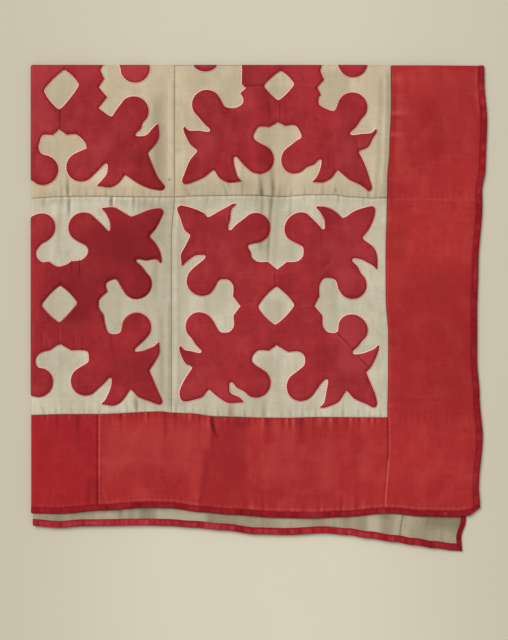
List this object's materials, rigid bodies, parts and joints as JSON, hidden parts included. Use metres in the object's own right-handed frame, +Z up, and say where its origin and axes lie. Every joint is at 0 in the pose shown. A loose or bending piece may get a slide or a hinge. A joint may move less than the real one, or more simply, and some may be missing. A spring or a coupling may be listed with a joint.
{
  "type": "folded applique quilt",
  "caption": "Applique bed quilt with an oak leaf pattern, folded in quarters and lying flat, its head half and left half turned under, with borders and a bound edge.",
  "frame": {"origin": "on the ground under the middle of the folded stack's box", "axes": "+Z up through the layers, +Y along the quilt towards the crosswise fold, +X across towards the side edge"},
  "size_m": [1.0944, 1.167, 0.0179],
  "materials": {
    "cream_ground": "plain-woven undyed cotton, unevenly yellowed, matte",
    "red_border": "plain-woven red cotton, slightly faded, matte",
    "red_applique": "plain-woven red cotton with turned edges, matte",
    "cream_backing": "plain-woven undyed cotton, matte",
    "dark_red_binding": "narrow folded strip of dark red cotton, matte"
  },
  "bodies": {
    "root": {"block_foot_left": "cream_ground", "block_foot_middle": "cream_ground", "block_foot_right": "cream_ground", "block_middle_left": "cream_ground", "block_middle_middle": "cream_ground", "block_middle_right": "cream_ground", "block_head_left": "cream_ground", "block_head_middle": "cream_ground", "block_head_right": "cream_ground", "border_right": "red_border", "border_left": "red_border", "border_foot_long": "red_border", "border_foot_turned": "red_border", "border_head": "red_border", "backing_wide": "cream_backing", "backing_narrow": "cream_backing", "binding_foot": "dark_red_binding", "binding_head": "dark_red_binding", "binding_left": "dark_red_binding", "binding_right": "dark_red_binding"}
  },
  "joints": []
}
